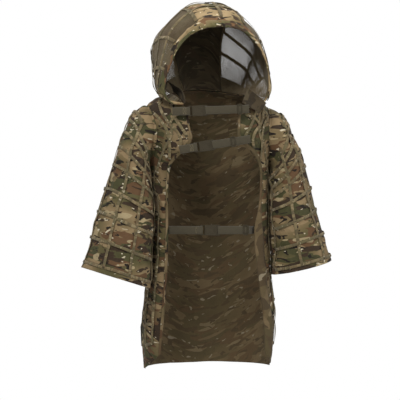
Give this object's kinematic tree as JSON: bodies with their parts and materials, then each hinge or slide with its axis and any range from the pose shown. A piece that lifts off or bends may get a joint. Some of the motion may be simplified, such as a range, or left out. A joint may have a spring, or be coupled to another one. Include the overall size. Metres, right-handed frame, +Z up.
{
  "type": "ghillie suit",
  "caption": "Hooded camouflage smock with see-through mesh hood sides, bell sleeves, an open arched front closed by buckled webbing straps, and a lattice of tapes for tying on foliage.",
  "frame": {"origin": "centre of the neck's base, between the shoulder seams", "axes": "+Z up along the wearer's body, -Y the way the wearer faces, +X to the wearer's left"},
  "size_m": [0.804, 0.3088, 1.1669],
  "materials": {
    "camo_cloth": "printed camouflage ripstop, matt",
    "mesh_cloth": "open hexagonal knit mesh, matt",
    "reverse_cloth": "plain reverse of the printed cloth, matt",
    "lattice_tape": "woven camouflage tape, matt",
    "webbing": "ribbed nylon webbing",
    "moulding": "moulded acetal, satin"
  },
  "bodies": {
    "smock": {"back_panel": "camo_cloth", "lattice_back": "lattice_tape", "front_panel_right": "camo_cloth", "front_panel_left": "camo_cloth", "lattice_front_right": "lattice_tape", "lattice_front_left": "lattice_tape", "edge_facing_right": "reverse_cloth", "edge_facing_left": "reverse_cloth", "strap_anchor_upper": "webbing", "buckle_female_upper": "moulding", "strap_adjust_upper": "webbing", "strap_anchor_middle": "webbing", "buckle_female_middle": "moulding", "strap_adjust_middle": "webbing", "strap_anchor_lower": "webbing", "buckle_female_lower": "moulding", "strap_adjust_lower": "webbing"},
    "hood": {"hood_crown": "camo_cloth", "hood_mesh_right": "mesh_cloth", "hood_mesh_left": "mesh_cloth", "hood_rim": "camo_cloth", "lattice_hood": "lattice_tape", "neck_flap_left": "reverse_cloth", "neck_flap_right": "reverse_cloth"},
    "sleeve_right": {"sleeve_right": "camo_cloth", "lattice_sleeve_right": "lattice_tape"},
    "sleeve_left": {"sleeve_left": "camo_cloth", "lattice_sleeve_left": "lattice_tape"},
    "male_upper": {"buckle_male_upper": "moulding"},
    "latch_top_upper": {"latch_arm_top_upper": "moulding"},
    "latch_bottom_upper": {"latch_arm_bottom_upper": "moulding"},
    "slider_upper": {"slider_upper": "moulding"},
    "male_middle": {"buckle_male_middle": "moulding"},
    "latch_top_middle": {"latch_arm_top_middle": "moulding"},
    "latch_bottom_middle": {"latch_arm_bottom_middle": "moulding"},
    "slider_middle": {"slider_middle": "moulding"},
    "male_lower": {"buckle_male_lower": "moulding"},
    "latch_top_lower": {"latch_arm_top_lower": "moulding"},
    "latch_bottom_lower": {"latch_arm_bottom_lower": "moulding"},
    "slider_lower": {"slider_lower": "moulding"}
  },
  "joints": [
    {"name": "hood_fold", "type": "hinge", "parent": "smock", "child": "hood", "pos_m": [0, 0.095, 0.052], "axis": [-1, 0, 0], "range_deg": [0, 60]},
    {"name": "sleeve_raise_right", "type": "hinge", "parent": "smock", "child": "sleeve_right", "pos_m": [-0.2, 0, -0.002], "axis": [0, 1, 0], "range_deg": [0, 40]},
    {"name": "sleeve_raise_left", "type": "hinge", "parent": "smock", "child": "sleeve_left", "pos_m": [0.2, 0, -0.002], "axis": [0, -1, 0], "range_deg": [0, 40]},
    {"name": "buckle_release_upper", "type": "slide", "parent": "smock", "child": "male_upper", "axis": [0.9986, 0, 0.0523], "range_m": [0, 0.032], "deforming": ["strap_adjust_upper", "latch_arm_top_upper", "latch_arm_bottom_upper"]},
    {"name": "latch_squeeze_top_upper", "type": "hinge", "parent": "male_upper", "child": "latch_top_upper", "pos_m": [-0.04957, -0.139, -0.02407], "axis": [0, -1, 0], "range_deg": [0, 8], "stiffness_Nm_per_rad": 0.05},
    {"name": "latch_squeeze_bottom_upper", "type": "hinge", "parent": "male_upper", "child": "latch_bottom_upper", "pos_m": [-0.04842, -0.139, -0.04604], "axis": [0, 1, 0], "range_deg": [0, 8], "stiffness_Nm_per_rad": 0.05},
    {"name": "slider_adjust_upper", "type": "slide", "parent": "smock", "child": "slider_upper", "axis": [-0.9986, 0, -0.0523], "range_m": [0, 0.02]},
    {"name": "buckle_release_middle", "type": "slide", "parent": "smock", "child": "male_middle", "axis": [0.9877, 0, 0.1564], "range_m": [0, 0.032], "deforming": ["strap_adjust_middle", "latch_arm_top_middle", "latch_arm_bottom_middle"]},
    {"name": "latch_squeeze_top_middle", "type": "hinge", "parent": "male_middle", "child": "latch_top_middle", "pos_m": [-0.02871, -0.139, -0.13129], "axis": [0, -1, 0], "range_deg": [0, 8], "stiffness_Nm_per_rad": 0.05},
    {"name": "latch_squeeze_bottom_middle", "type": "hinge", "parent": "male_middle", "child": "latch_bottom_middle", "pos_m": [-0.02527, -0.139, -0.15302], "axis": [0, 1, 0], "range_deg": [0, 8], "stiffness_Nm_per_rad": 0.05},
    {"name": "slider_adjust_middle", "type": "slide", "parent": "smock", "child": "slider_middle", "axis": [-0.9877, 0, -0.1564], "range_m": [0, 0.02]},
    {"name": "buckle_release_lower", "type": "slide", "parent": "smock", "child": "male_lower", "axis": [1, 0, 0], "range_m": [0, 0.032], "deforming": ["strap_adjust_lower", "latch_arm_top_lower", "latch_arm_bottom_lower"]},
    {"name": "latch_squeeze_top_lower", "type": "hinge", "parent": "male_lower", "child": "latch_top_lower", "pos_m": [-0.005, -0.122, -0.394], "axis": [0, -1, 0], "range_deg": [0, 8], "stiffness_Nm_per_rad": 0.05},
    {"name": "latch_squeeze_bottom_lower", "type": "hinge", "parent": "male_lower", "child": "latch_bottom_lower", "pos_m": [-0.005, -0.122, -0.416], "axis": [0, 1, 0], "range_deg": [0, 8], "stiffness_Nm_per_rad": 0.05},
    {"name": "slider_adjust_lower", "type": "slide", "parent": "smock", "child": "slider_lower", "axis": [-1, 0, 0], "range_m": [0, 0.02]}
  ],
  "couplings": [
    {"joint": "latch_squeeze_bottom_upper", "follows": "latch_squeeze_top_upper", "ratio": 1},
    {"joint": "latch_squeeze_bottom_middle", "follows": "latch_squeeze_top_middle", "ratio": 1},
    {"joint": "latch_squeeze_bottom_lower", "follows": "latch_squeeze_top_lower", "ratio": 1}
  ]
}
